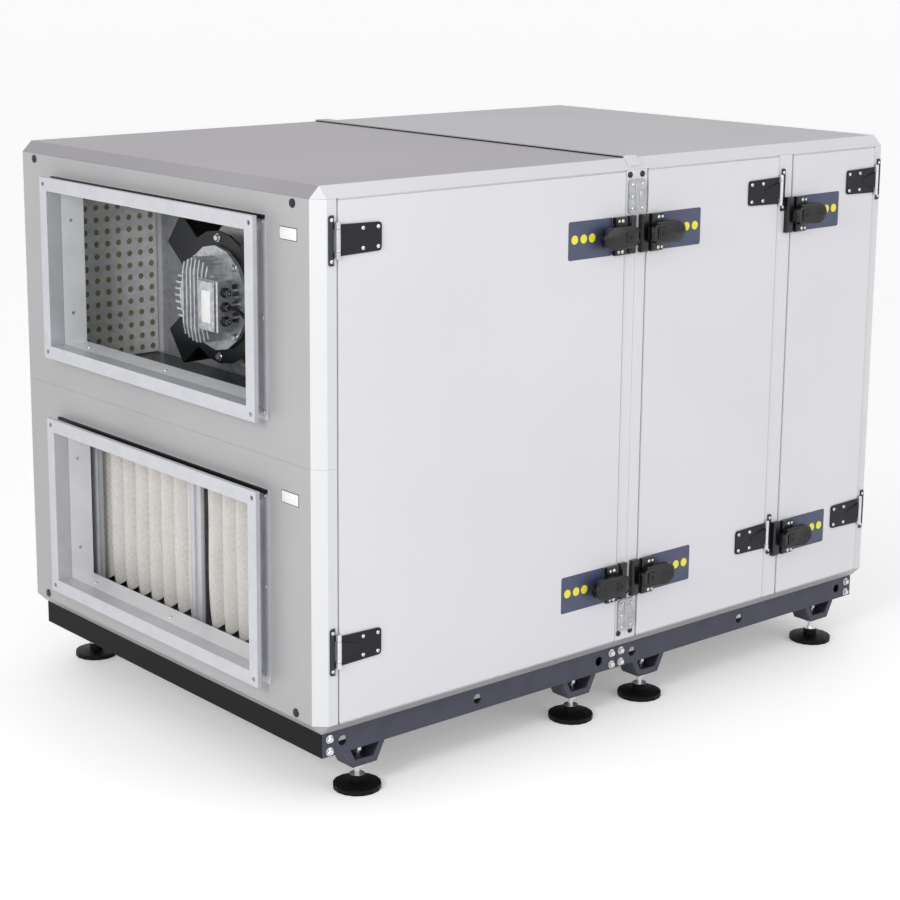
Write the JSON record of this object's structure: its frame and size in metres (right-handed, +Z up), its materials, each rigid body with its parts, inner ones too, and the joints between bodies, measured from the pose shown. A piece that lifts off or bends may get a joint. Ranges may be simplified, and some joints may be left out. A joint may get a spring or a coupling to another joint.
{
  "type": "heat recovery ventilation unit",
  "caption": "Two-module heat recovery ventilation unit on steel base frames with levelling feet, hinged service doors, duct connections, plug fans and filters.",
  "frame": {"origin": "on the floor, under the middle of the unit's overall box", "axes": "+Z up, +X along the unit away from the duct end seen first, service doors face -Y"},
  "size_m": [1.5246, 1.0016, 1.074],
  "materials": {
    "panel_light": "light grey powder coat",
    "panel_grey": "metallic grey coated sheet",
    "galvanised": "galvanised sheet",
    "base_dark": "dark powder coat",
    "plastic_black": "moulded, fine grain",
    "motor_cast": "die cast",
    "support_black": "satin black coat",
    "filter_media": "pleated fibre fleece"
  },
  "bodies": {
    "root": {"back_a": "panel_light", "back_b": "panel_light", "base_frame_a": "base_dark", "base_frame_b": "base_dark", "deck_a": "galvanised", "deck_b": "galvanised", "duct_flange_lower_a": "galvanised", "duct_flange_lower_b": "galvanised", "duct_flange_upper_a": "galvanised", "duct_flange_upper_b": "galvanised", "end_lower_a": "panel_grey", "end_lower_b": "panel_grey", "end_upper_a": "panel_grey", "end_upper_b": "panel_grey", "exchanger": "galvanised", "fan_plate_a": "galvanised", "fan_plate_b": "galvanised", "fan_support_a": "support_black", "fan_support_b": "support_black", "filter_a_1": "filter_media", "filter_a_2": "filter_media", "filter_b_1": "filter_media", "filter_b_2": "filter_media", "floor_a": "panel_grey", "floor_b": "panel_grey", "foot_a_end_back": "plastic_black", "foot_a_end_front": "plastic_black", "foot_a_joint_back": "plastic_black", "foot_a_joint_front": "plastic_black", "foot_b_end_back": "plastic_black", "foot_b_end_front": "plastic_black", "foot_b_joint_back": "plastic_black", "foot_b_joint_front": "plastic_black", "joining_plate_lower": "galvanised", "joining_plate_upper": "galvanised", "joint_post_a": "panel_light", "joint_post_b": "panel_light", "motor_a": "motor_cast", "motor_b": "motor_cast", "motor_cable": "support_black", "mullion": "panel_light", "roof_a": "panel_grey", "roof_b": "panel_grey"},
    "door_1": {"door_1": "panel_light", "hinge_1_lower": "plastic_black", "hinge_1_upper": "plastic_black"},
    "handle_1_lower": {"handle_1_lower": "plastic_black"},
    "handle_1_upper": {"handle_1_upper": "plastic_black"},
    "door_2": {"door_2": "panel_light", "hinge_2_lower": "plastic_black", "hinge_2_upper": "plastic_black"},
    "handle_2_lower": {"handle_2_lower": "plastic_black"},
    "handle_2_upper": {"handle_2_upper": "plastic_black"},
    "door_3": {"door_3": "panel_light", "hinge_3_lower": "plastic_black", "hinge_3_upper": "plastic_black"},
    "handle_3_lower": {"handle_3_lower": "plastic_black"},
    "handle_3_upper": {"handle_3_upper": "plastic_black"},
    "fan_rotor_a": {"impeller_a": "panel_light"},
    "fan_rotor_b": {"impeller_b": "panel_light"}
  },
  "joints": [
    {"name": "door_1_hinge", "type": "hinge", "parent": "root", "child": "door_1", "pos_m": [-0.6935, -0.47475, 0.6], "axis": [0, 0, -1], "range_deg": [0, 110]},
    {"name": "latch_1_lower", "type": "hinge", "parent": "door_1", "child": "handle_1_lower", "pos_m": [-0.042, -0.49175, 0.27], "axis": [0, -1, 0], "range_deg": [0, 90]},
    {"name": "latch_1_upper", "type": "hinge", "parent": "door_1", "child": "handle_1_upper", "pos_m": [-0.042, -0.49175, 0.932], "axis": [0, -1, 0], "range_deg": [0, 90]},
    {"name": "door_2_hinge", "type": "hinge", "parent": "root", "child": "door_2", "pos_m": [0.3975, -0.47475, 0.6], "axis": [0, 0, 1], "range_deg": [0, 90]},
    {"name": "latch_2_lower", "type": "hinge", "parent": "door_2", "child": "handle_2_lower", "pos_m": [0.042, -0.49175, 0.27], "axis": [0, 1, 0], "range_deg": [0, 90]},
    {"name": "latch_2_upper", "type": "hinge", "parent": "door_2", "child": "handle_2_upper", "pos_m": [0.042, -0.49175, 0.932], "axis": [0, 1, 0], "range_deg": [0, 90]},
    {"name": "door_3_hinge", "type": "hinge", "parent": "root", "child": "door_3", "pos_m": [0.6935, -0.47475, 0.6], "axis": [0, 0, 1], "range_deg": [0, 110]},
    {"name": "latch_3_lower", "type": "hinge", "parent": "door_3", "child": "handle_3_lower", "pos_m": [0.45, -0.49175, 0.27], "axis": [0, 1, 0], "range_deg": [0, 90]},
    {"name": "latch_3_upper", "type": "hinge", "parent": "door_3", "child": "handle_3_upper", "pos_m": [0.45, -0.49175, 0.932], "axis": [0, 1, 0], "range_deg": [0, 90]},
    {"name": "fan_spin_a", "type": "hinge", "parent": "root", "child": "fan_rotor_a", "pos_m": [-0.432, 0.01575, 0.81], "axis": [1, 0, 0], "continuous": true},
    {"name": "fan_spin_b", "type": "hinge", "parent": "root", "child": "fan_rotor_b", "pos_m": [0.06, 0.01575, 0.37], "axis": [1, 0, 0], "continuous": true}
  ]
}
